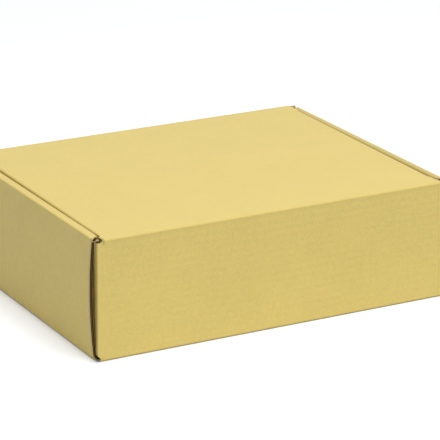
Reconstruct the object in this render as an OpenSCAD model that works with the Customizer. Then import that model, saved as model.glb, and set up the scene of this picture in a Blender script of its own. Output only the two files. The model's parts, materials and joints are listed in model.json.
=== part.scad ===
// Closed mailer box, folded and tucked from one sheet of corrugated board.
// X runs along the hinge, Y from the back wall to the front wall, and Z is up.
// The origin is on the ground under the middle of the box.

/* [Box] */
// Width across the creases of the two side walls
body_w = 330; // [220:1:460]
// Depth over the back wall and the front wall
body_d = 262; // [180:1:380]
// Height to the top of the side strips
body_h = 102; // [70:1:160]
// Thickness of the corrugated board
board = 2.6; // [1.6:0.1:3.4]

/* [Folds] */
// Outer radius of the folds round the base
fold_r = 2.2; // [0.6:0.1:3]
// Outer radius of the two folds of each side strip
strip_r = 1.5; // [0.6:0.1:2.4]
// Outer radius of the lid's folds, the hinge's among them
lid_r = 1.6; // [0.6:0.1:2.4]
// Outer radius of the upright corner folds
upright_r = 1.2; // [0.6:0.1:1.4]
// How far each side wall bellies out at mid height
side_bow = 2.5; // [0.8:0.1:5]
// Radius of the crushed free edges of the side walls
edge_r = 1.1; // [0.3:0.1:1.4]

/* [Rolled sides] */
// Gap between the layers of board in a rolled side
layer_gap = 0.2; // [0.2:0.05:0.8]
// Distance from the end walls' outer faces to the side walls' free edges
side_setback = 6.5; // [5.5:0.1:10]
// Distance from the end walls' outer faces to the inner ends of the strips
strip_setback = 12.4; // [9:0.1:20]
// Gap between the end walls and the inner side walls
inner_gap = 1.3; // [0.6:0.1:3]
// Gap under the inner side walls
sole_gap = 0.2; // [0.1:0.05:0.6]

/* [Locking tabs] */
// Length of each locking tab
lock_l = 42; // [20:1:60]
// Distance of the locking tabs from the middle of the box
lock_offset = 68; // [40:1:80]
// Gap round a locking tab in its slot
lock_gap = 0.3; // [0.2:0.05:0.8]

/* [Corner flaps] */
// How far the upright corner folds stand out past the side creases
corner_bulge = 0; // [0:0.1:1.6]
// Length of a corner flap inside the rolled side
flap_l = 48; // [25:1:60]
// How much a corner flap narrows on each of its long edges
flap_taper = 9; // [2:1:14]
// Width of the cut at the foot of each corner
foot_cut_w = 3.5; // [2:0.1:6]
// Height of the cut at the foot of each corner
foot_cut_h = 3.8; // [2:0.1:6]
// Width of the notch in each corner of the base, from the side creases
foot_notch_w = 7; // [6:0.1:9]
// Depth of the notch in each corner of the base, from the end walls' outer faces
foot_notch_d = 6.5; // [4:0.1:9]
// Gap above a corner flap, under the side strip
flap_gap = 1; // [0.5:0.1:3]
// How far the upright corner folds end below the top of the side strips
ear_drop = 1; // [0.6:0.1:2]

/* [Lid] */
// How far the side strips stand above the lid's back edge
strip_step = 0; // [0:0.1:2]
// How far the lid's front edge rises above its back edge
lid_rise = 1.6; // [0:0.1:3]
// Gap between the lid and each side strip
lid_gap = 0.8; // [0.4:0.1:2]
// Gap between the tuck flap and the front wall
front_gap = 0.5; // [0.3:0.1:2]
// How far the front wall's raw edge lies below the top of the side strips
front_drop = 0.6; // [0:0.1:2]
// Height of the tuck flap
tuck_h = 58; // [30:1:62]
// Distance from the lid's side edges to the tuck flap's
tuck_inset = 8; // [5:0.5:20]
// Radius of the tuck flap's lower corners
tuck_r = 14; // [4:1:24]
// Clearance of the tuck flap's lower edge as it swings past the front wall
swing_gap = 0.5; // [0.3:0.1:1.5]

/* [Dust flaps] */
// Height of the lid's dust flaps
dust_h = 38; // [20:1:50]
// Distance from the back wall's outer face to the dust flaps
dust_back = 18; // [14:1:40]
// Distance from the front wall's outer face to the dust flaps
dust_front = 22; // [18:1:40]
// How much a dust flap narrows at each end
dust_taper = 16; // [4:1:30]

/* [Hinge] */
// Gap between the two halves of the hinge fold
hinge_gap = 0.1; // [0.06:0.02:0.2]
// How much wider than the lid the hinge fold is on each side
hinge_over = 2.4; // [0.2:0.1:2.6]
// Gap between the ends of the hinge fold and the ears of the back wall
ear_gap = 0.2; // [0.1:0.05:0.6]
// Distance from the back wall's outer face over which the lid keeps the hinge fold's width
flare_l = 7.5; // [6:0.1:10]
// Length over which the lid then slants in to its own width
flare_slant = 2.5; // [1:0.1:3.5]
// Radius of the relief that bites into the lid at each end of the hinge
relief_r = 2.8; // [2:0.1:4]
// Distance from the side creases to the middle of the relief
relief_in = 5.7; // [5:0.1:8]
// Distance from the back wall's outer face to the middle of the relief
relief_back = 3.1; // [3:0.1:7]
// Radius of the notch in each ear of the back wall
notch_r = 3.5; // [2.5:0.1:4.5]
// Distance from the side creases to the middle of the notch
notch_in = 3.3; // [2.5:0.1:4.5]
// Depth of the notch below the top of the side strips
notch_drop = 2.3; // [0.5:0.1:3]

/* [Hidden] */

kraft = "#d9c27a";

// Segments of a full turn on the folds and on the large arc of a bellied wall
$fn = 48;
bow_fn = 720;

// How far a cut reaches past the faces that it opens
cut = 1;

half_w = body_w / 2;
half_d = body_d / 2;
free_edge_r = min(edge_r, board / 2);

// Rolled sides, measured in from the side creases
strip_w = 3 * board + 2 * layer_gap;
flap_in = board + layer_gap;
side_l = body_d - 2 * side_setback;
strip_l = body_d - 2 * strip_setback;
inner_l = body_d - 2 * (board + inner_gap);
inner_x = half_w - strip_w;

// Arc of a bellied side wall, which runs on a little way into its two folds
bow_chord = body_h - 2 * board;
bow_r = (bow_chord * bow_chord / 4 + side_bow * side_bow) / (2 * side_bow);
bow_lean = asin(bow_chord / 2 / bow_r);
bow_lap = 0.15;
bow_half = bow_lean + asin((board * sin(bow_lean) + bow_lap) / bow_r);

// Lid and hinge
lid_top = body_h - strip_step;
lid_low = lid_top - board;
lid_w = body_w - 2 * (strip_w + lid_gap);
hinge_w = lid_w + 2 * hinge_over;
mitre_shift = hinge_gap / sqrt(2);
lid_front = half_d - board - front_gap;
lid_lean = asin(lid_rise / (lid_front + half_d));
wall_reach = body_d - board;
tuck_reach = sqrt(pow(wall_reach - swing_gap, 2) - pow(tuck_h + board, 2));
tuck_lean = asin((lid_front + half_d - tuck_reach) / tuck_h);

// Upright corner folds, which run in behind the sharp corner with the slope of a 3-4-5 triangle:
// the slope, the way that the outer face looks there, and the tangents of half the two turns
kick_slope = 4 / 3;
kick_out = [0.8, 0.6];
kick_tangent = 2;
kink_tangent = 1 / 3;
kick_x = half_w + corner_bulge + upright_r;
flap_x = half_w - flap_in;
kick_y = (kick_x - flap_x) * kick_slope;
ear_in = hinge_w / 2 + ear_gap;
ear_top = body_h - ear_drop;
flap_top = body_h - board - flap_gap;

// Extrudes a section drawn in Y and Z along X, about the middle.
module along_x(l) {
    translate([-l / 2, 0, 0])
        rotate([90, 0, 90])
            linear_extrude(l)
                children();
}

// Extrudes a section drawn in X and Z along Y, about the middle.
module along_y(l) {
    translate([0, l / 2, 0])
        rotate([90, 0, 0])
            linear_extrude(l)
                children();
}

// Draws its children on both sides of the box.
module both_sides() {
    children();
    mirror([1, 0, 0])
        children();
}

// What a rounded corner at the origin leaves over.
module corner_waste(r) {
    difference() {
        square(r);
        translate([r, r])
            circle(r);
    }
}

// Section of a square fold of some outer radius, with its outer corner at the origin.
module fold_section(r) {
    difference() {
        square(board);
        corner_waste(min(r, board - 0.1));
    }
}

// Base panel, with the slots of the locking tabs, notched corners and the folds along its four edges.
module base() {
    slot_w = board + 2 * lock_gap;
    slot_l = lock_l + 2 * lock_gap;
    difference() {
        translate([board - half_w, board - half_d, 0])
            cube([body_w - 2 * board, body_d - 2 * board, board]);
        both_sides()
            for (end = [0, 1])
                mirror([0, end, 0])
                    translate([half_w - foot_notch_w, half_d - foot_notch_d, -cut])
                        cube([foot_notch_w, foot_notch_d, board + 2 * cut]);
        both_sides()
            for (y = [-lock_offset, lock_offset])
                translate([inner_x - lock_gap, y - slot_l / 2, -cut])
                    cube([slot_w, slot_l, board + 2 * cut]);
    }
    both_sides()
        along_y(side_l)
            translate([-half_w, 0])
                fold_section(fold_r);
    for (turn = [0, 180])
        rotate([0, 0, turn])
            along_x(body_w - 2 * foot_cut_w)
                translate([-half_d, 0])
                    fold_section(fold_r);
}

// Outer side wall, bellied, with the outer arris of its free edges crushed round.
module side_wall() {
    translate([bow_r - half_w - side_bow, 0, body_h / 2])
        rotate([90, 0, 0])
            rotate([0, 0, 180 - bow_half])
                rotate_extrude(angle = 2 * bow_half, $fn = bow_fn)
                    translate([bow_r, 0])
                        for (end = [0, 1])
                            mirror([0, end])
                                difference() {
                                    translate([-board, 0])
                                        square([board, side_l / 2]);
                                    translate([0, side_l / 2])
                                        rotate(180)
                                            corner_waste(free_edge_r, $fn = 32);
                                }
}

// Narrow strip over a rolled side, with its two folds and its slanted ends.
module side_strip() {
    low = body_h - board;
    intersection() {
        along_y(side_l) {
            translate([-half_w, body_h])
                mirror([0, 1])
                    fold_section(strip_r);
            translate([board - half_w, low])
                square([strip_w - 2 * board, board]);
            translate([-inner_x, body_h])
                rotate(180)
                    fold_section(strip_r);
        }
        translate([0, 0, low - cut])
            linear_extrude(board + 2 * cut)
                polygon([
                    [-half_w, -side_l / 2],
                    [-inner_x, -strip_l / 2],
                    [-inner_x, strip_l / 2],
                    [-half_w, side_l / 2]
                ]);
    }
}

// Inner side wall, lower at its ends than under the strip, with its locking tabs.
module inner_wall() {
    low = board + sole_gap;
    translate([-inner_x - board, -inner_l / 2, low])
        cube([board, inner_l, flap_top - low]);
    translate([-inner_x - board, -strip_l / 2, flap_top])
        cube([board, strip_l, flap_gap]);
    for (y = [-lock_offset, lock_offset])
        translate([-inner_x - board, y - lock_l / 2, lock_gap])
            cube([board, lock_l, low]);
}

// One rolled side.
module rolled_side() {
    side_wall();
    side_strip();
    inner_wall();
}

// Slanted cuts at the feet of an end wall's two corners.
module foot_cuts() {
    both_sides()
        translate([0, side_setback + board - half_d, 0])
            rotate([90, 0, 0])
                linear_extrude(side_setback + 2 * board)
                    polygon([
                        [half_w - foot_cut_w, board - cut],
                        [half_w - foot_cut_w, board],
                        [half_w + board, board + foot_cut_h * (1 + board / foot_cut_w)],
                        [half_w + board, board - cut]
                    ]);
}

// Back or front wall up to a height between its ears, with its two corner flaps.
module end_wall(top, ears) {
    difference() {
        union() {
            translate([-ear_in, -half_d, board])
                cube([2 * ear_in, board, top - board]);
            both_sides()
                corner_flap(ears);
        }
        foot_cuts();
    }
}

// Section of an upright corner fold, from the wall's ear to the plane of the tucked flap.
module corner_section() {
    centre = [kick_x - kick_tangent * upright_r, upright_r];
    difference() {
        polygon([
            [ear_in, 0],
            [kick_x, 0],
            [flap_x, kick_y],
            [flap_x, kick_y + board],
            [flap_x - board, kick_y + board],
            [flap_x - board, kick_y - kink_tangent * board],
            [kick_x - kick_tangent * board, board],
            [ear_in, board]
        ]);
        difference() {
            polygon([
                centre,
                [centre[0], -cut],
                [kick_x + 2 * cut, -cut],
                centre + (upright_r + 2 * cut) * kick_out
            ]);
            translate(centre)
                circle(upright_r);
        }
    }
}

// Corner fold up to a height, and the tapered flap that is tucked into the rolled side.
module corner_flap(top) {
    low = board + sole_gap;
    clear = side_setback - layer_gap;
    difference() {
        translate([0, -half_d, low])
            linear_extrude(top - low)
                corner_section();
        translate([flap_x - board - cut, clear - half_d, flap_top])
            cube([board + 2 * cut, kick_y + board, top - flap_top + cut]);
    }
    translate([flap_x - board, kick_y - half_d, 0])
        rotate([90, 0, 90])
            linear_extrude(board)
                polygon([
                    [board / 2, low],
                    [board, low],
                    [flap_l, low + flap_taper],
                    [flap_l, flap_top - flap_taper],
                    [board, flap_top],
                    [board / 2, flap_top]
                ]);
}

// Half of the hinge fold, cut along its mitre, drawn in from the outer corner.
module mitred_half() {
    difference() {
        polygon([
            [mitre_shift, 0],
            [board, board - mitre_shift],
            [board, 0]
        ]);
        corner_waste(min(lid_r, board - 0.1));
    }
}

// Round reliefs at the two ends of the hinge.
module hinge_reliefs() {
    both_sides()
        translate([half_w - relief_in, relief_back - half_d, lid_low - cut])
            cylinder(h = board + 2 * cut, r = relief_r);
}

// Round notches in the ears of the back wall.
module ear_notches() {
    both_sides()
        translate([half_w - notch_in, board - half_d, body_h - notch_drop + notch_r])
            rotate([90, 0, 0])
                cylinder(h = board + cut, r = notch_r);
}

// Lower half of the hinge fold, on top of the back wall.
module back_crease() {
    difference() {
        along_x(hinge_w)
            translate([-half_d, lid_top])
                mirror([0, 1])
                    mirror([1, -1])
                        mitred_half();
        hinge_reliefs();
    }
}

// Upper half of the hinge fold, along the lid's back edge.
module lid_crease() {
    along_x(hinge_w)
        translate([-half_d, lid_top])
            mirror([0, 1])
                mitred_half();
}

// Tuck flap in front of the lid, leaning in so that it clears the front wall.
module tuck_flap() {
    tuck_w = lid_w - 2 * tuck_inset;
    translate([0, lid_front, lid_low])
        rotate([-tuck_lean, 0, 0])
            rotate([90, 0, 0])
                linear_extrude(board)
                    difference() {
                        translate([-tuck_w / 2, -tuck_h])
                            square([tuck_w, tuck_h]);
                        for (side = [0, 1])
                            mirror([side, 0])
                                translate([-tuck_w / 2, -tuck_h])
                                    corner_waste(tuck_r);
                    }
}

// Dust flap under one side edge of the lid, with its fold.
module dust_flap() {
    back = dust_back - half_d;
    front = half_d - dust_front;
    translate([0, (back + front) / 2, 0])
        along_y(front - back)
            translate([-lid_w / 2, lid_top])
                mirror([0, 1])
                    fold_section(lid_r);
    translate([-lid_w / 2, 0, 0])
        rotate([90, 0, 90])
            linear_extrude(board)
                polygon([
                    [back, lid_low],
                    [front, lid_low],
                    [front - dust_taper, lid_low - dust_h],
                    [back + dust_taper, lid_low - dust_h]
                ]);
}

// Lid panel: as wide as the hinge fold at the back, and narrowed along the dust flaps for their folds.
module lid_panel() {
    back = dust_back - half_d;
    front = half_d - dust_front;
    side = [
        [hinge_w / 2, board - half_d],
        [hinge_w / 2, flare_l - half_d],
        [lid_w / 2, flare_l + flare_slant - half_d],
        [lid_w / 2, back],
        [lid_w / 2 - board, back],
        [lid_w / 2 - board, front],
        [lid_w / 2, front],
        [lid_w / 2, lid_front - board]
    ];
    last = len(side) - 1;
    translate([0, 0, lid_low])
        linear_extrude(board)
            polygon(concat(side, [for (i = [0:last]) [-side[last - i][0], side[last - i][1]]]));
}

// Turns its children about the hinge by the angle at which the closed lid stands ajar.
module ajar() {
    translate([0, -half_d, lid_top])
        rotate([lid_lean, 0, 0])
            translate([0, half_d, -lid_top])
                children();
}

module tray() {
    color(kraft) {
        base();
        both_sides()
            rolled_side();
        difference() {
            end_wall(lid_low, ear_top);
            ear_notches();
        }
        mirror([0, 1, 0])
            end_wall(body_h - front_drop, body_h - front_drop);
        back_crease();
    }
}

module lid() {
    color(kraft)
        ajar() {
            difference() {
                union() {
                    lid_panel();
                    lid_crease();
                }
                hinge_reliefs();
            }
            along_x(lid_w)
                translate([lid_front, lid_top])
                    rotate(180)
                        fold_section(lid_r);
            tuck_flap();
            both_sides()
                dust_flap();
        }
}

tray();
lid();
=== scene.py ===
"""Dresses the closed mailer box: kraft board, fluted cut edges, hinge crease, floor, lamps and camera."""
import json
import logging
import math
from collections.abc import Iterable
from dataclasses import dataclass
from enum import Enum
from typing import Any, Union

import bmesh
import bpy
from mathutils import Matrix, Vector

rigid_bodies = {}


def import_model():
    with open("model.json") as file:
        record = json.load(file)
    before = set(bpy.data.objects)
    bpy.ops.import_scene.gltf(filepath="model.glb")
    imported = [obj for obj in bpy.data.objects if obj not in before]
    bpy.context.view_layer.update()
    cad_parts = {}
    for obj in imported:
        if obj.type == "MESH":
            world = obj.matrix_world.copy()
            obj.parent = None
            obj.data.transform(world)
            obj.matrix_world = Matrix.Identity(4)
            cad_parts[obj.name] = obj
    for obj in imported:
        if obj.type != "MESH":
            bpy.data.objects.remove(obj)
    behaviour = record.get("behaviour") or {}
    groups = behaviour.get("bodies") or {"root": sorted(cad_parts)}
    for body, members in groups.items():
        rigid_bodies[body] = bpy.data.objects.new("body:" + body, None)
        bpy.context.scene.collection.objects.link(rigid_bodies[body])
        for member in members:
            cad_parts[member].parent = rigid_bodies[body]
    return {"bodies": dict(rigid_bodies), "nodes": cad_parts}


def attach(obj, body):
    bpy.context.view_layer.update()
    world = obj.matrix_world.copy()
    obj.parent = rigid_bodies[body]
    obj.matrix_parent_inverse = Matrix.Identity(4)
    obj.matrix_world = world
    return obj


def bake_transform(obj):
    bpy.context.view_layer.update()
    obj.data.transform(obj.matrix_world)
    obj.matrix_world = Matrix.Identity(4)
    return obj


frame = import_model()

LOG = logging.getLogger("mailer_box")
MM = 0.001

Value = Union[float, tuple, "Sock"]
Colour = tuple[float, ...]


def srgb(red: int, green: int, blue: int) -> Colour:
    """Turns a colour as a screen shows it, from 0 to 255, into the linear one that shaders take."""
    shares = [level / 255 for level in (red, green, blue)]
    return tuple(s / 12.92 if s <= 0.04045 else ((s + 0.055) / 1.055) ** 2.4 for s in shares)


def placed(name: str, data: bpy.types.ID) -> bpy.types.Object:
    """Puts an object into the scene.

    Args:
        name: The object's name.
        data: Its mesh, lamp or camera.

    Returns:
        The object, which sits at the origin.
    """
    thing = bpy.data.objects.new(name, data)
    bpy.context.scene.collection.objects.link(thing)
    return thing


class Sock:
    """An output socket that takes part in Python expressions."""

    def __init__(self, maker: "NodeMaker", socket: bpy.types.NodeSocket) -> None:
        """Wraps a socket of the maker's tree."""
        self.maker = maker
        self.socket = socket

    def calc(self, operation: str, *others: Value, flip: bool = False) -> "Sock":
        """Adds a Math node, with this socket as its first operand or, when flipped, as its last."""
        terms = [*others, self] if flip else [self, *others]
        return self.maker.node("ShaderNodeMath", {"operation": operation}, dict(enumerate(terms)))["Value"]

    def __add__(self, other: Value) -> "Sock":
        """Sum."""
        return self.calc("ADD", other)

    def __radd__(self, other: Value) -> "Sock":
        """Sum with a number in front."""
        return self.calc("ADD", other, flip=True)

    def __sub__(self, other: Value) -> "Sock":
        """Difference."""
        return self.calc("SUBTRACT", other)

    def __rsub__(self, other: Value) -> "Sock":
        """Difference from a number."""
        return self.calc("SUBTRACT", other, flip=True)

    def __mul__(self, other: Value) -> "Sock":
        """Product."""
        return self.calc("MULTIPLY", other)

    def __rmul__(self, other: Value) -> "Sock":
        """Product with a number in front."""
        return self.calc("MULTIPLY", other, flip=True)

    def __truediv__(self, other: Value) -> "Sock":
        """Quotient."""
        return self.calc("DIVIDE", other)

    def __rtruediv__(self, other: Value) -> "Sock":
        """Quotient under a number."""
        return self.calc("DIVIDE", other, flip=True)

    def __gt__(self, other: Value) -> "Sock":
        """1 where it is greater, else 0."""
        return self.calc("GREATER_THAN", other)

    def __abs__(self) -> "Sock":
        """Absolute value."""
        return self.calc("ABSOLUTE")

    def ramp(self, low: float, high: float) -> "Sock":
        """Runs smoothly from 0 at low to 1 at high."""
        settings = {"interpolation_type": "SMOOTHSTEP"}
        return self.maker.node("ShaderNodeMapRange", settings, {"Value": self, 1: low, 2: high})["Result"]


@dataclass(frozen=True)
class Pattern:
    """A noise pattern: its spots to the metre, its levels of detail and how strong the finer ones are."""

    scale: float
    detail: float = 2.0
    rough: float = 0.5


class NodeMaker:
    """Adds nodes to one tree, for shaders and for geometry alike."""

    def __init__(self, tree: bpy.types.NodeTree) -> None:
        """Takes the tree that the nodes go into."""
        self.tree = tree

    def node(self, kind: str, settings: dict[str, Any] | None = None,
             inputs: dict[Union[str, int], Any] | None = None) -> dict[Union[str, int], Sock]:
        """Adds a node.

        Args:
            kind: The node's type.
            settings: Properties of the node, which are set first.
            inputs: Values or sockets for the node's inputs, by name or number.

        Returns:
            The node's outputs by name, and by number.
        """
        node = self.tree.nodes.new(kind)
        for name, value in (settings or {}).items():
            setattr(node, name, value)
        for key, value in (inputs or {}).items():
            if isinstance(value, Sock):
                self.tree.links.new(value.socket, node.inputs[key])
            else:
                node.inputs[key].default_value = value
        outputs: dict[Union[str, int], Sock] = {}
        for number, socket in enumerate(node.outputs):
            outputs[number] = Sock(self, socket)
            if socket.enabled:
                outputs.setdefault(socket.name, outputs[number])
        return outputs

    def noise(self, place: Sock, pattern: Pattern) -> Sock:
        """Adds a noise pattern that runs from -1 to 1 about 0."""
        sizes = {"Scale": pattern.scale, "Detail": pattern.detail, "Roughness": pattern.rough}
        return self.node("ShaderNodeTexNoise", {}, {"Vector": place, **sizes})[0] * 2 - 1

    def mix(self, share: Value, first: Value, second: Value) -> Sock:
        """Mixes two colours."""
        return self.node("ShaderNodeMix", {"data_type": "RGBA"}, {0: share, 6: first, 7: second})[2]

    def scaled(self, colour: Value, factor: Sock) -> Sock:
        """Multiplies a colour by a number."""
        return self.node("ShaderNodeVectorMath", {"operation": "SCALE"}, {0: colour, "Scale": factor})[0]


def new_material(name: str) -> tuple[bpy.types.Material, NodeMaker]:
    """Makes an empty node material.

    Args:
        name: The material's name.

    Returns:
        The material, and the maker for its tree.
    """
    material = bpy.data.materials.new(name)
    material.use_nodes = True
    material.node_tree.nodes.clear()
    return material, NodeMaker(material.node_tree)


@dataclass(frozen=True)
class Spot:
    """A place on the object as a material reads it, in metres."""

    place: Sock
    x: Sock
    y: Sock
    z: Sock

    @classmethod
    def read(cls, make: NodeMaker) -> "Spot":
        """Reads the Object coordinates.

        Args:
            make: The material's node maker.

        Returns:
            The place as a vector, along the hinge, from back to front, and upwards.
        """
        place = make.node("ShaderNodeTexCoord")["Object"]
        split = make.node("ShaderNodeSeparateXYZ", {}, {0: place})
        return cls(place, split["X"], split["Y"], split["Z"])


@dataclass(frozen=True)
class BoardSizes:
    """Sizes of the folded sheet in metres, as the solids have them."""

    half_w: float = 165 * MM
    half_d: float = 131 * MM
    height: float = 102 * MM
    board: float = 2.6 * MM
    lid_r: float = 1.6 * MM
    bow: float = 2.5 * MM
    side_setback: float = 6.5 * MM
    strip_setback: float = 12.4 * MM
    strip_w: float = 8.2 * MM
    lid_rise: float = 1.6 * MM
    ear_drop: float = 1.0 * MM
    notch_r: float = 3.5 * MM
    notch_in: float = 3.3 * MM
    notch_drop: float = 2.3 * MM
    flap_in: float = 2.8 * MM
    foot_cut_w: float = 3.5 * MM
    foot_cut_h: float = 3.8 * MM
    foot_notch_w: float = 7 * MM
    foot_notch_d: float = 6.5 * MM
    relief_r: float = 2.8 * MM
    relief_in: float = 5.7 * MM
    relief_back: float = 3.1 * MM
    flare_l: float = 7.5 * MM
    flare_slant: float = 2.5 * MM
    front_drop: float = 0.6 * MM
    lid_gap: float = 0.8 * MM
    front_gap: float = 0.5 * MM
    hinge_over: float = 2.4 * MM
    lock_l: float = 42 * MM
    lock_offset: float = 68 * MM
    lock_gap: float = 0.3 * MM
    tuck_h: float = 58 * MM
    tuck_inset: float = 8 * MM
    tuck_r: float = 14 * MM
    swing_gap: float = 0.5 * MM
    dust_h: float = 38 * MM
    dust_back: float = 18 * MM
    dust_front: float = 22 * MM
    dust_taper: float = 16 * MM

    @property
    def inner_x(self) -> float:
        """Distance from the middle to the inner side of a rolled side."""
        return self.half_w - self.strip_w

    @property
    def flap_x(self) -> float:
        """Distance from the middle to the outer face of a tucked corner flap."""
        return self.half_w - self.flap_in

    @property
    def lid_low(self) -> float:
        """Height of the lid's lower side at the hinge, and of a side wall's top."""
        return self.height - self.board

    @property
    def ear_top(self) -> float:
        """Height of the back wall's ears beside the hinge."""
        return self.height - self.ear_drop

    @property
    def front_top(self) -> float:
        """Height of the front wall."""
        return self.height - self.front_drop

    @property
    def lid_x(self) -> float:
        """Distance from the middle to the lid's side edges."""
        return self.inner_x - self.lid_gap

    @property
    def hinge_x(self) -> float:
        """Distance from the middle to the ends of the hinge fold."""
        return self.lid_x + self.hinge_over

    @property
    def lid_front(self) -> float:
        """Depth of the tuck flap's outer face."""
        return self.half_d - self.board - self.front_gap

    @property
    def lid_lean(self) -> float:
        """Angle by which the closed lid stands ajar, in radians."""
        return math.asin(self.lid_rise / (self.lid_front + self.half_d))

    @property
    def bow_radius(self) -> float:
        """Radius of a side wall's belly at its outer face."""
        chord = self.height - 2 * self.board
        return (chord ** 2 / 4 + self.bow ** 2) / (2 * self.bow)

    @property
    def free_edge_y(self) -> float:
        """Distance from the middle to the side walls' free edges."""
        return self.half_d - self.side_setback

    @property
    def strip_slope(self) -> float:
        """How far a strip's slanted end runs back for each metre inwards."""
        return (self.strip_setback - self.side_setback) / self.strip_w

    @property
    def tuck_lean(self) -> float:
        """Angle by which the tuck flap leans in.

        Returns:
            The angle in radians, at which the swinging flap just clears the front wall.
        """
        wall_reach = 2 * self.half_d - self.board - self.swing_gap
        reach = math.sqrt(wall_reach ** 2 - (self.tuck_h + self.board) ** 2)
        return math.asin((self.lid_front + self.half_d - reach) / self.tuck_h)

    def ajar(self, place: Vector) -> Vector:
        """Turns a place on the flat lid to where the closed lid holds it."""
        hinge = Vector((0, -self.half_d, self.height))
        return hinge + Matrix.Rotation(self.lid_lean, 3, "X") @ (place - hinge)

    def wall_x(self, z: float, inward: float) -> float:
        """Distance from the middle to a bellied side wall, at a height and a depth below its outer face."""
        centre = self.half_w + self.bow - self.bow_radius
        return centre + math.sqrt((self.bow_radius - inward) ** 2 - (z - self.height / 2) ** 2)


SIZES = BoardSizes()


@dataclass(frozen=True)
class Grain:
    """The liner's own patterns: mottle and fibre about 0, lightness about 1, and relief in metres."""

    mottle: Sock
    fibre: Sock
    light: Sock
    relief: Sock


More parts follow.
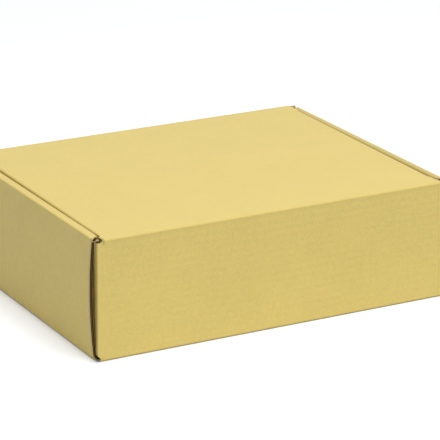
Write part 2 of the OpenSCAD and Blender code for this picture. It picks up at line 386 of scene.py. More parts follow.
@dataclass(frozen=True)
class KraftFinish:
    """Unbleached liner: mottled fibre, faint flute lines that show through, painted shade on the folds, the
    right strip and the upright corners, and a rubbed band with a painted highlight along the free edges.

    Lengths are in metres, and scales are in spots to the metre.
    """

    name: str = "kraft_liner"
    colour: Colour = srgb(231, 207, 121)
    fleck: Colour = srgb(200, 170, 90)
    # Colour of the rubbed band along the free edges, lightened with a painted highlight.
    rubbed_highlight: Colour = srgb(206, 178, 136)
    # Colour of the painted shade on the right strip, next to the lid.
    right_strip_shade: Colour = srgb(162, 138, 54)
    # Colour of the painted shade on the upright corners of the front and back walls.
    corner: Colour = srgb(122, 96, 38)
    specular: float = 0.2
    roughness: float = 0.5
    roughness_swing: float = 0.05

    flute_pitch: float = 6.2625 * MM
    flute_tint: float = 0.009
    flute_bump: float = 0.012 * MM
    flute_mean: float = 0.75
    flute_swing: float = 0.5
    patches: Pattern = Pattern(9, 1)
    clouds: Pattern = Pattern(26, 3, 0.6)
    cloud_tint: float = 0.03
    mottle: Pattern = Pattern(440, 4, 0.7)
    mottle_tint: float = 0.06
    mottle_bump: float = 0.008 * MM
    fibre: Pattern = Pattern(1, 3, 0.65)
    fibre_thin: float = 1300
    fibre_long: float = 320
    fibre_turned: float = 900
    fibre_tint: float = 0.04
    fibre_bump: float = 0.006 * MM
    flecks: Pattern = Pattern(900, 1)
    fleck_from: float = 0.42
    fleck_to: float = 0.75
    fleck_share: float = 0.45
    wall_grain: float = 1.7

    # Painted shade on the hinge fold, which dulls its highlight, and on the strips' inner folds beside the
    # lid.
    crease_shade: float = 0.24
    crease_shade_low: float = 3.4 * MM
    crease_shade_high: float = 1.2 * MM
    hinge_shade_share: float = 0.25
    hinge_shade_in: float = 1.1 * MM
    hinge_shade_out: float = 0.1 * MM
    strip_crease_shade: float = 3 * MM
    right_strip_shade_share: float = 0.55
    right_strip_shade_low: float = 3 * MM
    right_strip_shade_high: float = 1 * MM
    right_strip_shade_out: float = 1 * MM
    right_strip_shade_in: float = 0.5 * MM
    rub_highlight_share: float = 0.5
    rub_highlight_w: float = 2.8 * MM
    rub_highlight_soft: float = 0.5 * MM
    rub_highlight_uneven: float = 0.6 * MM
    corner_shade_share: float = 0.7
    corner_shade_in: float = 1.8 * MM
    corner_shade_out: float = 0.2 * MM
    corner_shade_grow: float = 0.5 * MM
    end_hollow: float = 1.8 * MM
    side_hollow: float = 3.0 * MM
    skin: float = 0.2 * MM
    slack: float = 1.0 * MM

    def build(self) -> bpy.types.Material:
        """Makes the material.

        Returns:
            The liner's material.
        """
        material, make = new_material(self.name)
        spot = Spot.read(make)
        grain = self.grain(make, spot)
        ends = abs(spot.y) > SIZES.half_d - self.slack - self.skin
        # The liner is darkened on the folds with painted shade.
        light = grain.light * (1 - self.crease_shade_mask(spot) * self.crease_shade)
        base = self.stained(make, spot, grain, ends)
        bump = make.node("ShaderNodeBump", {}, {
            "Strength": 1.0, "Distance": 1.0, "Height": self.hollows(spot, ends) + grain.relief})
        shader = make.node("ShaderNodeBsdfPrincipled", {}, {
            "Base Color": make.scaled(base, light), "Normal": bump["Normal"],
            "Roughness": self.roughness + grain.fibre * self.roughness_swing,
            "Specular IOR Level": self.specular})
        make.node("ShaderNodeOutputMaterial", {}, {"Surface": shader["BSDF"]})
        return material

    def grain(self, make: NodeMaker, spot: Spot) -> Grain:
        """Makes the paper's own patterns, which are coarser on the walls than on top.

        Args:
            make: The material's node maker.
            spot: The place on the object.

        Returns:
            The patterns.
        """
        side = abs(spot.x) > SIZES.lid_x - SIZES.board
        across = spot.y + (spot.z - SIZES.height) * (1 - side)
        flutes = (across * (2 * math.pi / self.flute_pitch)).calc("COSINE")
        flutes = flutes * (make.noise(spot.place, self.patches) * self.flute_swing + self.flute_mean)
        threads = make.node("ShaderNodeCombineXYZ", {}, {
            0: spot.x * self.fibre_thin, 1: spot.y * self.fibre_long,
            2: spot.z * (self.fibre_long + side * self.fibre_turned)})[0]
        clouds = make.noise(spot.place, self.clouds)
        mottle = make.noise(spot.place, self.mottle)
        fibre = make.noise(threads, self.fibre)
        wall = 1 - (spot.z > SIZES.height - 2 * self.skin)
        tint = clouds * self.cloud_tint + mottle * self.mottle_tint + fibre * self.fibre_tint
        light = 1 + flutes * self.flute_tint + tint * (1 + wall * (self.wall_grain - 1))
        relief = flutes * self.flute_bump + mottle * self.mottle_bump + fibre * self.fibre_bump
        return Grain(mottle, fibre, light, relief)

    def stained(self, make: NodeMaker, spot: Spot, grain: Grain, ends: Sock) -> Sock:
        """Mixes the liner's colour with flecks, a lighter rubbed band with a painted highlight, and painted
        shade on the right strip and on the upright corners.

        Args:
            make: The material's node maker.
            spot: The place on the object.
            grain: The paper's own patterns.
            ends: 1 on the front and back walls.

        Returns:
            The colour.
        """
        flecks = make.noise(spot.place, self.flecks).ramp(self.fleck_from, self.fleck_to)
        # Painted shade on the right strip, deepening towards the lid.
        strip_shade = spot.x.ramp(SIZES.half_w + self.right_strip_shade_out, SIZES.inner_x + self.right_strip_shade_in)
        strip_shade = strip_shade * (spot.x > SIZES.inner_x - self.skin)
        strip_shade = strip_shade * spot.z.ramp(SIZES.height - self.right_strip_shade_low, SIZES.height - self.right_strip_shade_high)
        # Painted shade where the front and back walls turn round their upright corners, a little wider
        # towards the top.
        reach = abs(spot.x) + spot.z * (2 * self.corner_shade_grow / SIZES.height)
        upright = reach.ramp(SIZES.half_w - self.corner_shade_in, SIZES.half_w + self.corner_shade_out) * ends
        base = make.mix(flecks * self.fleck_share, (*self.colour, 1), (*self.fleck, 1))
        # The free edges' band: rubbed liner with a painted highlight.
        base = make.mix(self.rub_highlight(spot, grain.mottle) * self.rub_highlight_share, base, (*self.rubbed_highlight, 1))
        base = make.mix(strip_shade * self.right_strip_shade_share, base, (*self.right_strip_shade, 1))
        return make.mix(upright * self.corner_shade_share, base, (*self.corner, 1))

    def hollows(self, spot: Spot, ends: Sock) -> Sock:
        """Gives the shallow hollow of each wall between its bottom and its top.

        Args:
            spot: The place on the object.
            ends: 1 on the front and back walls.

        Returns:
            The height in metres, below 0 in the hollow.
        """
        level = spot.z * (2 / SIZES.height) - 1
        sides = (abs(spot.x) > SIZES.half_w - 1.5 * self.skin) * (1 - ends)
        return (level * level - 1) * (ends * self.end_hollow + sides * self.side_hollow)

    def crease_shade_mask(self, spot: Spot) -> Sock:
        """Gives 1 on the hinge fold and on the strips' inner folds, where the liner gets painted shade.

        Args:
            spot: The place on the object.

        Returns:
            The mask, which fades out within a few millimetres of the folds.
        """
        top = spot.z.ramp(SIZES.height - self.crease_shade_low, SIZES.height - self.crease_shade_high)
        beyond = abs(spot.x) > SIZES.hinge_x
        hinge = spot.y.ramp(self.hinge_shade_in - SIZES.half_d, -self.hinge_shade_out - SIZES.half_d)
        strip = abs(spot.x).ramp(SIZES.inner_x + self.strip_crease_shade, SIZES.inner_x)
        strip = strip * (abs(spot.x) > SIZES.inner_x - self.skin)
        return (hinge * (1 - beyond) * self.hinge_shade_share).calc("MAXIMUM", strip) * top

    def rub_highlight(self, spot: Spot, mottle: Sock) -> Sock:
        """Gives 1 on the lighter band along the side walls' free edges: rubbed liner, with a painted
        highlight of the rounded arris.

        Args:
            spot: The place on the object.
            mottle: Pattern that makes the inner limit uneven.

        Returns:
            The mask.
        """
        reach = abs(spot.y) + mottle * self.rub_highlight_uneven
        limit = SIZES.free_edge_y - self.rub_highlight_w
        edge = reach.ramp(limit - self.rub_highlight_soft, limit + self.rub_highlight_soft)
        beyond = abs(spot.y) > SIZES.free_edge_y + self.slack
        return edge * (abs(spot.x) > SIZES.half_w - self.slack) * (1 - beyond)


@dataclass(frozen=True)
class CutFinish:
    """Plain paper seen at a cut edge: the medium of the flutes, or a dark finish that paints the shade of
    the hollow behind it.
    """

    name: str
    colour: Colour
    roughness: float = 0.85
    mottle: Pattern = Pattern(500)
    mottle_tint: float = 0.12

    def build(self) -> bpy.types.Material:
        """Makes the material.

        Returns:
            The cut paper's material.
        """
        material, make = new_material(self.name)
        light = 1 + make.noise(Spot.read(make).place, self.mottle) * self.mottle_tint
        shader = make.node("ShaderNodeBsdfPrincipled", {}, {
            "Base Color": make.scaled(self.colour, light), "Roughness": self.roughness})
        make.node("ShaderNodeOutputMaterial", {}, {"Surface": shader["BSDF"]})
        return material


# The first finish paints the shade in the flutes' hollow; the third is the flute paper darkened with
# painted shade.
CUT_FINISHES = (CutFinish("flute_hollow", srgb(56, 36, 10)), CutFinish("flute_medium", srgb(188, 160, 98)),
                CutFinish("shaded_medium", srgb(136, 110, 62)))


@dataclass(frozen=True)
class FloorFinish:
    """White studio floor that shows white to the camera and keeps the box's shadow, with a painted soft
    shadow where its glow dims near the box.
    """

    name: str = "studio_floor"
    colour: Colour = (0.80, 0.825, 0.87)
    lift: float = 0.42
    shadow_seam_under: float = 2 * MM
    shadow_seam_out: float = 0.3 * MM
    contact_shadow_w: float = 6 * MM
    contact_shadow_share: float = 0.3
    shade_w: float = 46 * MM
    shade_side: float = 0.32
    shade_end: float = 0.08
    shade_turn: float = 30 * MM

    def build(self) -> bpy.types.Material:
        """Makes the material.

        Returns:
            The floor's material.
        """
        material, make = new_material(self.name)
        glow = direct_view(make) * self.painted_shadow_clearness(Spot.read(make)) * self.lift
        matt = make.node("ShaderNodeBsdfDiffuse", {}, {"Color": (*self.colour, 1)})
        lamp = make.node("ShaderNodeEmission", {}, {"Strength": glow})
        both = make.node("ShaderNodeAddShader", {}, {0: matt["BSDF"], 1: lamp["Emission"]})
        make.node("ShaderNodeOutputMaterial", {}, {"Surface": both["Shader"]})
        return material

    def painted_shadow_clearness(self, spot: Spot) -> Sock:
        """Gives how much of its glow the floor keeps, which fades near the box and paints a soft shadow
        there.

        Args:
            spot: The place on the floor.

        Returns:
            A share that rises from 0 under the box to 1 well away from it.
        """
        beside, before = abs(spot.x) - SIZES.half_w, abs(spot.y) - SIZES.half_d
        apart = beside.calc("MAXIMUM", before)
        # The glow fades under and beside the box, painting a soft shadow that is deeper beside the side
        # walls than before the front and back walls.
        seam = apart.ramp(-self.shadow_seam_under, self.shadow_seam_out)
        clear = seam * (1 - self.contact_shadow_share) + apart.ramp(0, self.contact_shadow_w) * self.contact_shadow_share
        shade = self.shade_end + beside.ramp(-self.shade_turn, 0) * (self.shade_side - self.shade_end)
        return clear * (1 - shade * (1 - apart.ramp(0, self.shade_w)))


def direct_view(make: NodeMaker) -> Sock:
    """Marks the rays that show the background.

    Args:
        make: The material's or the world's node maker.

    Returns:
        1 for rays from the camera, off a mirror or through glass, else 0.
    """
    path = make.node("ShaderNodeLightPath")
    mirrored = path["Is Glossy Ray"].calc("MAXIMUM", path["Is Transmission Ray"])
    return path["Is Camera Ray"].calc("MAXIMUM", mirrored)


@dataclass(frozen=True)
class EdgeLook:
    """What shows at a cut edge where the flutes meet it in one way, in metres."""

    liner: float
    paper: float
    pitch: float = 150 * MM
    swing: float = 0.0
    step: float = 2 * MM
    shaded: bool = False


class FluteRun(Enum):
    """How the flutes meet a cut edge, with what shows there."""

    ENDS = EdgeLook(0.36 * MM, 0.26 * MM, 6.3 * MM, 0.8, 0.35 * MM)
    OBLIQUE = EdgeLook(0.36 * MM, 0.26 * MM, 16.2 * MM, 0.8, 0.7 * MM)
    ALONG = EdgeLook(0.16 * MM, 0.4 * MM, swing=0.3, shaded=True)
    CRUSHED = EdgeLook(0.1 * MM, 1.6 * MM)
    PRESSED = EdgeLook(0.36 * MM, 1.86 * MM)
    SHOULDER = EdgeLook(0.85 * MM, 0.2 * MM, shaded=True)


@dataclass(frozen=True)
class CutEdge:
    """One cut edge of the board.

    Its path runs along the middle of the board's thickness, on the cut face.
    """

    name: str
    path: tuple[Vector, ...]
    outward: tuple[Vector, ...]
    run: FluteRun

    @classmethod
    def facing(cls, name: str, path: Iterable[Vector], outward: Vector, run: FluteRun) -> "CutEdge":
        """Makes a cut edge that faces one way all along."""
        points = tuple(path)
        return cls(name, points, (outward,) * len(points), run)


class EdgeTree:
    """Geometry Nodes tree that lays a band of paper along a path, waved from side to side."""

    NUMBERS = ("Width", "Depth", "Wave", "Pitch", "Phase", "Step")

    def __init__(self) -> None:
        """Builds the tree."""
        self.tree = bpy.data.node_groups.new("cut_edge_band", "GeometryNodeTree")
        face = self.tree.interface
        face.new_socket("Geometry", in_out="INPUT", socket_type="NodeSocketGeometry")
        face.new_socket("Geometry", in_out="OUTPUT", socket_type="NodeSocketGeometry")
        kinds = {**dict.fromkeys(self.NUMBERS, "NodeSocketFloat"), "Material": "NodeSocketMaterial"}
        self.keys = {name: face.new_socket(name, in_out="INPUT", socket_type=kind).identifier
                     for name, kind in kinds.items()}
        make = NodeMaker(self.tree)
        given = make.node("NodeGroupInput")
        line = make.node("GeometryNodeMeshToCurve", {}, {"Mesh": given["Geometry"]})["Curve"]
        line = make.node("GeometryNodeResampleCurve", {"mode": "LENGTH"},
                         {"Curve": line, "Length": given["Step"]})["Curve"]
        outward = make.node("GeometryNodeInputNamedAttribute", {"data_type": "FLOAT_VECTOR"},
                            {"Name": "outward"})["Attribute"]
        tangent = make.node("GeometryNodeInputTangent")["Tangent"]
        across = make.node("ShaderNodeVectorMath", {"operation": "CROSS_PRODUCT"},
                           {0: outward, 1: tangent})[0]
        length = make.node("GeometryNodeSplineParameter")["Length"]
        turn = length / given["Pitch"] * (2 * math.pi) + given["Phase"]
        shift = make.scaled(across, turn.calc("SINE") * given["Wave"])
        line = make.node("GeometryNodeSetCurveNormal", {"mode": "FREE"},
                         {"Curve": line, "Normal": outward})["Curve"]
        line = make.node("GeometryNodeSetPosition", {}, {"Geometry": line, "Offset": shift})["Geometry"]
        section = make.node("GeometryNodeCurvePrimitiveQuadrilateral", {},
                            {"Width": given["Depth"], "Height": given["Width"]})["Curve"]
        band = make.node("GeometryNodeCurveToMesh", {},
                         {"Curve": line, "Profile Curve": section, "Fill Caps": True})["Mesh"]
        band = make.node("GeometryNodeRealizeInstances", {}, {"Geometry": band})["Geometry"]
        band = make.node("GeometryNodeSetMaterial", {},
                         {"Geometry": band, "Material": given["Material"]})["Geometry"]
        make.node("NodeGroupOutput", {}, {"Geometry": band})

    def band(self, edge: CutEdge, lift: float, **values: Any) -> bpy.types.Mesh:
        """Lays one band.

        Args:
            edge: The cut edge that it follows.
            lift: How far the middle of the band lies in front of the cut face.
            values: Values of the tree's named inputs.

        Returns:
            The band's mesh.
        """
        mesh = bpy.data.meshes.new("edge_path")
        points = [p + n.normalized() * lift for p, n in zip(edge.path, edge.outward)]
        mesh.from_pydata(points, [(i, i + 1) for i in range(len(points) - 1)], [])
        normals = mesh.attributes.new("outward", "FLOAT_VECTOR", "POINT")
        normals.data.foreach_set("vector", [c for n in edge.outward for c in n.normalized()])
        carrier = placed("edge_path", mesh)
        modifier = carrier.modifiers.new("band", "NODES")
        modifier.node_group = self.tree
        for name, value in values.items():
            modifier[self.keys[name]] = value
        graph = bpy.context.evaluated_depsgraph_get()
        made = bpy.data.meshes.new_from_object(carrier.evaluated_get(graph), depsgraph=graph)
        bpy.data.objects.remove(carrier)
        return made


@dataclass(frozen=True)
class CutEdges:
    """Dresses the cut edges of one body with a dark band of painted shade for the hollow between the
    liners, and the paper in it.

    The finishes are the painted shade of the hollow, the paper, and the paper darkened with painted shade.
    """

    finishes: tuple[bpy.types.Material, ...]
    tree: EdgeTree
    body: str = ""
    proud: float = 0.03 * MM
    depth: float = 0.2 * MM
    hollow_shade_step: float = 4 * MM
    phase_step: float = 1.7

    def edges(self) -> list[CutEdge]:
        """Lists the body's cut edges that show."""
        raise NotImplementedError

    def bands(self, number: int, edge: CutEdge) -> list[tuple[int, bpy.types.Mesh]]:
        """Lays a dark band of painted shade for one edge's hollow, and the paper in front of it.

        Args:
            number: The edge's number, which shifts the wave of the paper.
            edge: The cut edge.

        Returns:
            The number of each band's finish, and its mesh.
        """
        look = edge.run.value
        gap = SIZES.board - 2 * look.liner
        finish = 2 if look.shaded else 1
        # The hollow is a dark band of painted shade laid on the cut face.
        hollow = self.tree.band(edge, self.proud - self.depth / 2, Width=gap, Depth=self.depth, Wave=0.0,
                                Pitch=1.0, Phase=0.0, Step=self.hollow_shade_step, Material=self.finishes[0])
        paper = self.tree.band(edge, 2 * self.proud - self.depth / 2, Width=look.paper, Depth=self.depth,
                               Wave=look.swing * (gap - look.paper) / 2, Pitch=look.pitch,
                               Phase=self.phase_step * number, Step=look.step,
                               Material=self.finishes[finish])
        return [(0, hollow), (finish, paper)]

    def build(self) -> bpy.types.Object:
        """Makes one piece of all the bands and lets it ride on its body.

        Returns:
            The piece.
        """
        joined = bmesh.new()
        for number, edge in enumerate(self.edges()):
            for finish, band in self.bands(number, edge):
                for polygon in band.polygons:
                    polygon.material_index = finish
                joined.from_mesh(band)
                bpy.data.meshes.remove(band)
        mesh = bpy.data.meshes.new(f"{self.body}_cut_edges")
        joined.to_mesh(mesh)
        joined.free()
        for finish in self.finishes:
            mesh.materials.append(finish)
        piece = placed(mesh.name, mesh)
        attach(piece, self.body)
        return piece


def arc(centre: tuple[float, float], radius: float, start: float, end: float,
        steps: int = 6) -> list[tuple[float, float]]:
    """Gives the points of an arc from one angle in degrees to another, with both ends."""
    turns = [math.radians(start + (end - start) * i / steps) for i in range(steps + 1)]
    return [(centre[0] + radius * math.cos(a), centre[1] + radius * math.sin(a)) for a in turns]


@dataclass(frozen=True)
class Corner:
    """One corner of the box: sx is 1 on the right, -1 on the left, and sy is 1 in front, -1 at the back."""

    sx: int
    sy: int

    def at(self, x: float, y: float, z: float) -> Vector:
        """Mirrors a place or a direction of the right front corner into this one."""
        return Vector((self.sx * x, self.sy * y, z))

    def behind(self, x: float, depth: float, z: float) -> Vector:
        """Gives a place at a depth behind the outer face of the front or back wall."""
        return self.at(x, SIZES.half_d - depth, z)


@dataclass(frozen=True)
class TrayEdges(CutEdges):
    """Cut edges of the tray that show: its corners, its locking tabs and the front wall's top."""

    body: str = "tray"
    wall_steps: int = 12
    notch_steps: int = 10
    shoulder_rows: tuple[float, ...] = (0.45 * MM, 1.35 * MM)
    shoulder_gap: float = 0.05 * MM
    corner_lead: float = 0.35 * MM
    corner_depths: tuple[float, ...] = (2.7 * MM, 4.9 * MM, 6.2 * MM)
    front_gap: float = 0.5 * MM

    def edges(self) -> list[CutEdge]:
        """Lists the edges.

        Returns:
            The edges at the four corners, the ends of the locking tabs and the front wall's top.
        """
        s = SIZES
        found = []
        for corner in (Corner(sx, sy) for sx in (-1, 1) for sy in (-1, 1)):
            found += self.side_edges(corner) + self.shoulder_edges(corner)
            found += self.foot_edges(corner) + self.ear_edges(corner)
            tab = [corner.at(s.inner_x + s.board / 2, s.lock_offset + end * s.lock_l / 2, s.lock_gap)
                   for end in (-corner.sy, corner.sy)]
            found.append(CutEdge.facing("locking_tab_end", tab, Vector((0, 0, -1)), FluteRun.ENDS))
        reach = s.half_w - self.front_gap
        top = [Vector((end * reach, s.half_d - s.board / 2, s.front_top)) for end in (-1, 1)]
        found.append(CutEdge.facing("front_wall_top", top, Vector((0, 0, 1)), FluteRun.PRESSED))
        return found

    def side_edges(self, corner: Corner) -> list[CutEdge]:
        """Lists the cut edges at one end of a rolled side.

        Args:
            corner: The corner of the box.

        Returns:
            The side wall's free edge with the end of its lower fold, and the strip's slanted end.
        """
        s = SIZES
        half = s.board / 2
        rise = s.height - 2 * s.board
        levels = [s.board + rise * i / self.wall_steps for i in range(1, self.wall_steps + 1)]
        wall = arc((s.half_w - s.board, s.board), half, -90, 0) + [(s.wall_x(z, half), z) for z in levels]
        free = [corner.at(x, s.free_edge_y, z) for x, z in wall]
        section = (arc((s.half_w - s.board, s.lid_low), half, 0, 90)
                   + arc((s.inner_x + s.board, s.lid_low), half, 90, 180))
        strip = [corner.at(x, s.free_edge_y - (s.half_w - x) * s.strip_slope, z) for x, z in section]
        return [CutEdge.facing("side_free_edge", free, corner.at(0, 1, 0), FluteRun.ALONG),
                CutEdge.facing("strip_end", strip, corner.at(-s.strip_slope, 1, 0), FluteRun.ALONG)]

    def shoulder_edges(self, corner: Corner) -> list[CutEdge]:
        """Lists the rows of cut paper on the small shoulder where a strip's slanted end bares its wall.

        Args:
            corner: The corner of the box.

        Returns:
            The rows, from the free edge inwards.
        """
        s = SIZES
        tilt = (s.height / 2 - s.board) / s.bow_radius
        found = []
        for inward in self.shoulder_rows:
            row = [corner.at(s.half_w - deep, s.free_edge_y - inward, s.lid_low + tilt * deep)
                   for deep in (inward / s.strip_slope, s.board - self.shoulder_gap)]
            found.append(CutEdge.facing("strip_shoulder", row, corner.at(tilt, 0, 1), FluteRun.SHOULDER))
        return found

    def foot_edges(self, corner: Corner) -> list[CutEdge]:
        """Lists the cut edges round the notch in a corner of the base.

        Args:
            corner: The corner of the box.

        Returns:
            The slanted cut of the end wall's foot, the end of its lower fold, and both sides of the notch.
        """
        s = SIZES
        half = s.board / 2
        end_x, notch_x = s.half_w - s.foot_cut_w, s.half_w - s.foot_notch_w
        cut = (corner.behind(end_x, half, s.board), corner.behind(s.half_w, half, s.board + s.foot_cut_h))
        fold = [corner.behind(end_x, depth, z) for depth, z in arc((s.board, s.board), half, 180, 270)]
        notch_side = [corner.behind(notch_x, depth, half) for depth in (s.board, s.foot_notch_d)]
        notch_front = [corner.behind(x, s.foot_notch_d, half) for x in (notch_x, s.half_w - s.board)]
        slant, side = corner.at(s.foot_cut_h, 0, -s.foot_cut_w), corner.at(1, 0, 0)
        return [CutEdge.facing("foot_cut", cut, slant, FluteRun.ALONG),
                CutEdge.facing("foot_fold_end", fold, side, FluteRun.ALONG),
                CutEdge.facing("notch_side", notch_side, side, FluteRun.ALONG),
                CutEdge.facing("notch_front", notch_front, corner.at(0, 1, 0), FluteRun.ALONG)]

    def ear_edges(self, corner: Corner) -> list[CutEdge]:
        """Lists the cut edges on top of an upright corner fold.

        Args:
            corner: The corner of the box.

        Returns:
            The slanted stretch behind the corner and, on the back wall, the round notch in the ear.
        """
        s = SIZES
        top = s.front_top if corner.sy > 0 else s.ear_top
        flap = s.flap_x - s.board / 2
        route = zip((s.flap_x + self.corner_lead, flap, flap), self.corner_depths)
        path = [corner.behind(x, depth, top) for x, depth in route]
        run = FluteRun.PRESSED if corner.sy > 0 else FluteRun.CRUSHED
        found = [CutEdge.facing("corner_top", path, Vector((0, 0, 1)), run)]
        if corner.sy < 0:
            centre = (s.half_w - s.notch_in, s.height - s.notch_drop + s.notch_r)
            reach = math.degrees(math.acos((centre[1] - top) / s.notch_r))
            points = arc(centre, s.notch_r, -90 - reach, -90 + reach, self.notch_steps)
            notch = tuple(corner.behind(x, s.board / 2, z) for x, z in points)
            inward = tuple(corner.at(centre[0] - x, 0, centre[1] - z) for x, z in points)
            found.append(CutEdge("ear_notch", notch, inward, FluteRun.CRUSHED))
        return found


@dataclass(frozen=True)
class LidEdges(CutEdges):
    """Cut edges of the lid: its tuck flap, its dust flaps and the panel's own sides."""

    body: str = "lid"
    tuck_steps: int = 8
    relief_steps: int = 10
    tuck_lead: float = 1 * MM
    closed_l: float = 7.5 * MM

    def edges(self) -> list[CutEdge]:
        """Lists the edges.

        Returns:
            The edges where the closed lid holds them, a little ajar.
        """
        root, down = self.tuck_axes()
        reach = SIZES.lid_x - SIZES.tuck_inset - SIZES.tuck_r
        lower = [root + Vector((end * reach, 0, 0)) + down * SIZES.tuck_h for end in (-1, 1)]
        flat = [CutEdge.facing("tuck_lower_edge", lower, down, FluteRun.ALONG)]
        for sx in (-1, 1):
            flat += self.tuck_edges(sx) + self.dust_edges(sx) + self.hinge_edges(sx) + self.side_edges(sx)
        turn = Matrix.Rotation(SIZES.lid_lean, 3, "X")
        return [CutEdge(edge.name, tuple(SIZES.ajar(place) for place in edge.path),
                        tuple(turn @ out for out in edge.outward), edge.run) for edge in flat]

    def tuck_axes(self) -> tuple[Vector, Vector]:
        """Gives the line of the tuck flap.

        Returns:
            The middle of the flap's root, and the way down along the flap.
        """
        s = SIZES
        inward = Vector((0, -math.cos(s.tuck_lean), math.sin(s.tuck_lean)))
        root = Vector((0, s.lid_front, s.lid_low)) + inward * s.board / 2
        return root, Vector((0, -math.sin(s.tuck_lean), -math.cos(s.tuck_lean)))

    def tuck_edges(self, sx: int) -> list[CutEdge]:
        """Lists the edges at one end of the tuck flap.

        Args:
            sx: 1 for the right end, -1 for the left.

        Returns:
            The straight edge and the rounded corner.
        """
        s = SIZES
        root, down = self.tuck_axes()
        out = Vector((sx, 0, 0))
        half = s.lid_x - s.tuck_inset
        side = [root + out * half + down * low for low in (self.tuck_lead, s.tuck_h - s.tuck_r)]
        centre = root + out * (half - s.tuck_r) + down * (s.tuck_h - s.tuck_r)
        rays = tuple(out * a + down * b for a, b in arc((0, 0), 1, 0, 90, self.tuck_steps))
        corner = tuple(centre + ray * s.tuck_r for ray in rays)
        return [CutEdge.facing("tuck_side_edge", side, out, FluteRun.ENDS),
                CutEdge("tuck_corner", corner, rays, FluteRun.OBLIQUE)]

    def dust_edges(self, sx: int) -> list[CutEdge]:
        """Lists the three free edges of a dust flap.

        Args:
            sx: 1 for the right flap, -1 for the left.

        Returns:
            The back taper, the lower edge and the front taper.
        """
        s = SIZES
        x = sx * (s.lid_x - s.board / 2)
        back, front = s.dust_back - s.half_d, s.half_d - s.dust_front
        foot = s.lid_low - s.dust_h
        points = [Vector((x, y, z)) for y, z in ((back, s.lid_low), (back + s.dust_taper, foot),
                                                 (front - s.dust_taper, foot), (front, s.lid_low))]
        runs = (FluteRun.OBLIQUE, FluteRun.ENDS, FluteRun.OBLIQUE)
        found = []
        for start, end, run in zip(points, points[1:], runs):
            outward = Vector((1, 0, 0)).cross(start - end)
            found.append(CutEdge.facing("dust_flap_edge", (start, end), outward, run))
        return found

    def hinge_edges(self, sx: int) -> list[CutEdge]:
        """Lists the edges beside the hinge.

        Args:
            sx: 1 for the right end, -1 for the left.

        Returns:
            The round relief, and the edge and the slant of the flare in front of it.
        """
        s = SIZES
        z = s.lid_low + s.board / 2
        centre = (s.half_w - s.relief_in, s.relief_back - s.half_d)
        start = math.degrees(math.acos((s.hinge_x - centre[0]) / s.relief_r))
        end = 180 + math.degrees(math.asin((s.relief_back - s.lid_r) / s.relief_r))
        points = arc(centre, s.relief_r, start, end, self.relief_steps)
        relief = tuple(Vector((sx * x, y, z)) for x, y in points)
        inward = tuple(Vector((sx * (centre[0] - x), centre[1] - y, 0)) for x, y in points)
        flare_y = s.flare_l - s.half_d
        flare = [Vector((sx * x, y, z)) for x, y in
                 (points[0], (s.hinge_x, flare_y), (s.lid_x, flare_y + s.flare_slant))]
        slant = Vector((sx * s.flare_slant, s.hinge_over, 0))
        return [CutEdge("hinge_relief", relief, inward, FluteRun.CRUSHED),
                CutEdge.facing("flare_edge", flare[:2], Vector((sx, 0, 0)), FluteRun.ENDS),
                CutEdge.facing("flare_slant", flare[1:], slant, FluteRun.OBLIQUE)]

    def side_edges(self, sx: int) -> list[CutEdge]:
        """Lists the panel's own edges behind and in front of a dust flap.

        Args:
            sx: 1 for the right side, -1 for the left.

        Returns:
            The back stretch, which the die left closed beside the flare, and the front stretch.
        """
        s = SIZES
        x, z = sx * s.lid_x, s.lid_low + s.board / 2
        open_from = s.flare_l + s.flare_slant + self.closed_l - s.half_d
        stretches = ((open_from, s.dust_back - s.half_d), (s.half_d - s.dust_front, s.lid_front - s.board))
        return [CutEdge.facing("lid_side_edge", [Vector((x, y, z)) for y in stretch], Vector((sx, 0, 0)),
                               FluteRun.ENDS) for stretch in stretches]


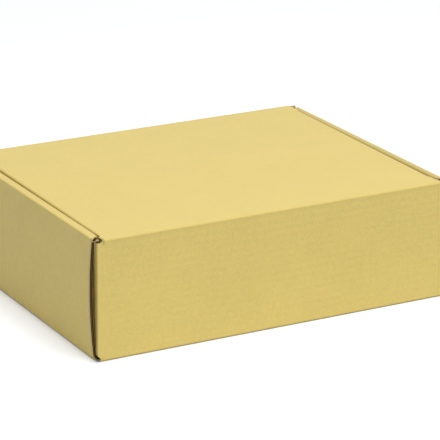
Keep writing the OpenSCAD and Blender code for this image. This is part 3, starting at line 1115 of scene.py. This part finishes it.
@dataclass(frozen=True)
class HingeBand:
    """Outer liner across the hinge fold, which covers the crease."""

    material: bpy.types.Material
    below: float = 5 * MM
    beyond: float = 5 * MM
    thick: float = 0.35 * MM
    proud: float = 0.05 * MM
    sunk: float = 0.08 * MM
    end_gap: float = 0.15 * MM
    bend: float = 3.2 * MM
    flat_rows: int = 4
    sinking_rows: int = 3
    arc_steps: int = 14
    columns: int = 120

    def section(self) -> list[tuple[Vector, Vector]]:
        """Gives the points of the fold's outer line.

        Returns:
            Each point in Y and Z with its outward direction, from the back wall up onto the lid.
        """
        s = SIZES
        y, z, r = -s.half_d, s.height, s.lid_r
        line = [(Vector((0, y, z - r - self.below * (1 - i / self.flat_rows))), Vector((0, -1, 0)))
                for i in range(self.flat_rows)]
        for i in range(self.arc_steps + 1):
            a = math.radians(90 * i / self.arc_steps)
            out = Vector((0, -math.cos(a), math.sin(a)))
            line.append((Vector((0, y + r, z - r)) + out * r, out))
        line += [(Vector((0, y + r + self.beyond * i / self.flat_rows, z)), Vector((0, 0, 1)))
                 for i in range(1, self.flat_rows + 1)]
        return line

    def shell(self) -> bpy.types.Mesh:
        """Makes the closed shell of the liner, whose long edges sink into the board.

        Returns:
            The mesh.
        """
        line = self.section()
        last = len(line) - 1
        reach = SIZES.hinge_x - self.end_gap
        lifts = [min(row, last - row, self.sinking_rows) / self.sinking_rows * (self.proud + self.sunk)
                 - self.sunk for row in range(last + 1)]
        upper = [p + out * lift for (p, out), lift in zip(line, lifts)]
        lower = [p + out * (lift - self.thick) for (p, out), lift in zip(line, lifts)]
        work = bmesh.new()
        outer, inner = [], []
        for column in range(self.columns + 1):
            shift = Vector((-reach + 2 * reach * column / self.columns, 0, 0))
            outer.append([work.verts.new(p + shift) for p in upper])
            inner.append([work.verts.new(p + shift) for p in lower])
        for c in range(self.columns):
            for r in range(last):
                work.faces.new((outer[c][r], outer[c + 1][r], outer[c + 1][r + 1], outer[c][r + 1]))
                work.faces.new((inner[c][r + 1], inner[c + 1][r + 1], inner[c + 1][r], inner[c][r]))
            for r in (0, last):
                work.faces.new((outer[c][r], inner[c][r], inner[c + 1][r], outer[c + 1][r]))
        for c in (0, self.columns):
            for r in range(last):
                work.faces.new((outer[c][r], outer[c][r + 1], inner[c][r + 1], inner[c][r]))
        bmesh.ops.recalc_face_normals(work, faces=work.faces)
        mesh = bpy.data.meshes.new("hinge_crease")
        work.to_mesh(mesh)
        work.free()
        mesh.shade_smooth()
        return mesh

    def build(self) -> bpy.types.Object:
        """Makes the band.

        Returns:
            The piece.
        """
        mesh = self.shell()
        mesh.materials.append(self.material)
        piece = placed(mesh.name, mesh)
        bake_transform(piece)
        return piece


@dataclass(frozen=True)
class SheetBoard:
    """The folded sheet itself, whose solids stay and get their liner."""

    nodes: tuple[str, ...] = ("tray", "lid")

    def dress(self, material: bpy.types.Material) -> None:
        """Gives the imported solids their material.

        Args:
            material: The liner's material.
        """
        for name in self.nodes:
            for slot in frame["nodes"][name].material_slots:
                slot.material = material
            LOG.info("dressed %s", name)


@dataclass(frozen=True)
class Lamp:
    """A square soft lamp, with its power in watts."""

    name: str
    place: tuple[float, float, float]
    power: float
    side: float


@dataclass(frozen=True)
class Studio:
    """Pale floor, soft light and the camera of the photograph. Lengths are in metres."""

    azimuth: float = -28.245
    elevation: float = 18.567
    distance: float = 2.2548
    target: tuple[float, float, float] = (0.0163, 0.0, 0.0522)
    lens: float = 214.2
    sensor: float = 36.0
    near: float = 0.05
    far: float = 100.0
    floor_reach: float = 30.0
    floor_drop: float = 0.2 * MM
    sky: float = 0.345
    key: Lamp = Lamp("key", (0.0, -0.95, 2.02), 33.3, 1.3)
    back: Lamp = Lamp("back", (0.8, 1.6, 0.85), 2.0, 1.2)

    def floor(self) -> None:
        """Lays the floor, which is no part of the box."""
        mesh = bpy.data.meshes.new("floor")
        reach = self.floor_reach
        rim = ((-reach, -reach), (reach, -reach), (reach, reach), (-reach, reach))
        mesh.from_pydata([(x, y, -self.floor_drop) for x, y in rim], [], [(0, 1, 2, 3)])
        mesh.materials.append(FloorFinish().build())
        floor = placed("floor", mesh)

    def light(self) -> None:
        """Sets the world and hangs the two soft lamps."""
        world = bpy.data.worlds.new("studio")
        bpy.context.scene.world = world
        world.use_nodes = True
        world.node_tree.nodes.clear()
        make = NodeMaker(world.node_tree)
        strength = self.sky + direct_view(make) * (1 - self.sky)
        back = make.node("ShaderNodeBackground", {}, {"Color": (1, 1, 1, 1), "Strength": strength})
        make.node("ShaderNodeOutputWorld", {}, {"Surface": back["Background"]})
        for lamp in (self.key, self.back):
            data = bpy.data.lights.new(lamp.name, "AREA")
            data.energy = lamp.power
            data.size = lamp.side
            hung = placed(lamp.name, data)
            hung.location = lamp.place
            ray = Vector(self.target) - Vector(lamp.place)
            hung.rotation_euler = ray.to_track_quat("-Z", "Y").to_euler()

    def camera(self) -> None:
        """Sets up the camera at the photograph's viewing angle."""
        data = bpy.data.cameras.new("camera")
        data.lens = self.lens
        data.sensor_width = self.sensor
        data.clip_start, data.clip_end = self.near, self.far
        camera = placed("camera", data)
        a, e = math.radians(self.azimuth), math.radians(self.elevation)
        back = Vector((math.sin(a) * math.cos(e), -math.cos(a) * math.cos(e), math.sin(e)))
        camera.location = Vector(self.target) + back * self.distance
        camera.rotation_euler = (-back).to_track_quat("-Z", "Y").to_euler()
        bpy.context.scene.camera = camera


def clear_startup() -> None:
    """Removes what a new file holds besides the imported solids."""
    kept = set(frame["nodes"].values()) | set(frame["bodies"].values())
    for thing in [o for o in bpy.data.objects if o not in kept]:
        bpy.data.objects.remove(thing)


def main() -> None:
    """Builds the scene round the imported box."""
    logging.basicConfig(level=logging.INFO, format="%(name)s: %(message)s")
    clear_startup()
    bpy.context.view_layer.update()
    bpy.context.scene.view_settings.view_transform = "Standard"
    kraft = KraftFinish().build()
    cuts = tuple(finish.build() for finish in CUT_FINISHES)
    SheetBoard().dress(kraft)
    tree = EdgeTree()
    for piece in (TrayEdges(cuts, tree).build(), LidEdges(cuts, tree).build(), HingeBand(kraft).build()):
        LOG.info("built %s with %d faces", piece.name, len(piece.data.polygons))
    studio = Studio()
    studio.floor()
    studio.light()
    studio.camera()


if __name__ == "__main__":
    main()
